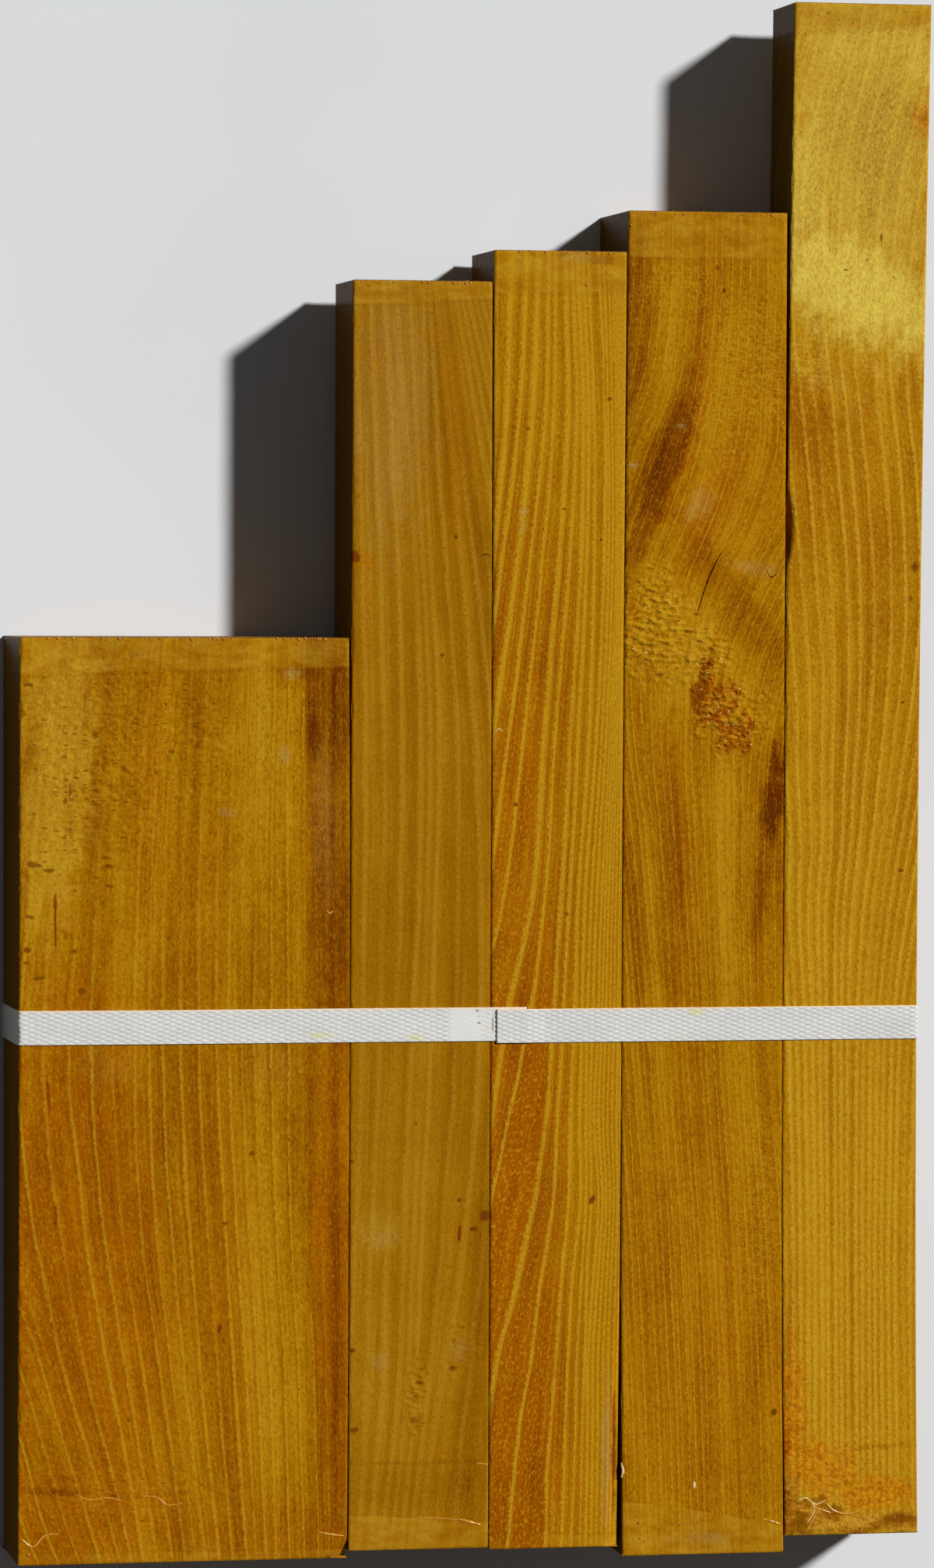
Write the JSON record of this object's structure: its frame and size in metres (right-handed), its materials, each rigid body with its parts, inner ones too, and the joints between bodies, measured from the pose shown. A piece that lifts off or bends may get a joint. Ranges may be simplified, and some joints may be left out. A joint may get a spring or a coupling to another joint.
{
  "type": "bundle of hardwood boards",
  "caption": "Pack of short rough-sawn hardwood boards in mixed widths, lengths and thicknesses, fronts flush, squeezed together by an embossed plastic strap with a welded lap.",
  "frame": {"origin": "on the floor, under the middle of the pack's box; the underside of the strap is at z 0", "axes": "+X across the boards from the widest to the longest, +Y along the boards from foot to head, +Z out of the flush front faces; the pack lies on its back"},
  "size_m": [0.3474, 0.5872, 0.0529],
  "materials": {
    "board_1_wood": "rough sawn, golden, with torn pits; ends sealed with clear wax",
    "board_2_wood": "rough sawn, olive tan; ends sealed with clear wax",
    "board_3_wood": "rough sawn, striped orange and yellow; ends sealed with clear wax",
    "board_4_wood": "rough sawn, orange brown with a knot; ends sealed with clear wax",
    "board_5_wood": "rough sawn, pale golden and glossy at the head; ends sealed with clear wax",
    "strap_plastic": "off-white, embossed with small diamonds"
  },
  "bodies": {
    "root": {"board_1": "board_1_wood", "board_2": "board_2_wood", "board_3": "board_3_wood", "board_4": "board_4_wood", "board_5": "board_5_wood", "strap": "strap_plastic"}
  },
  "joints": []
}
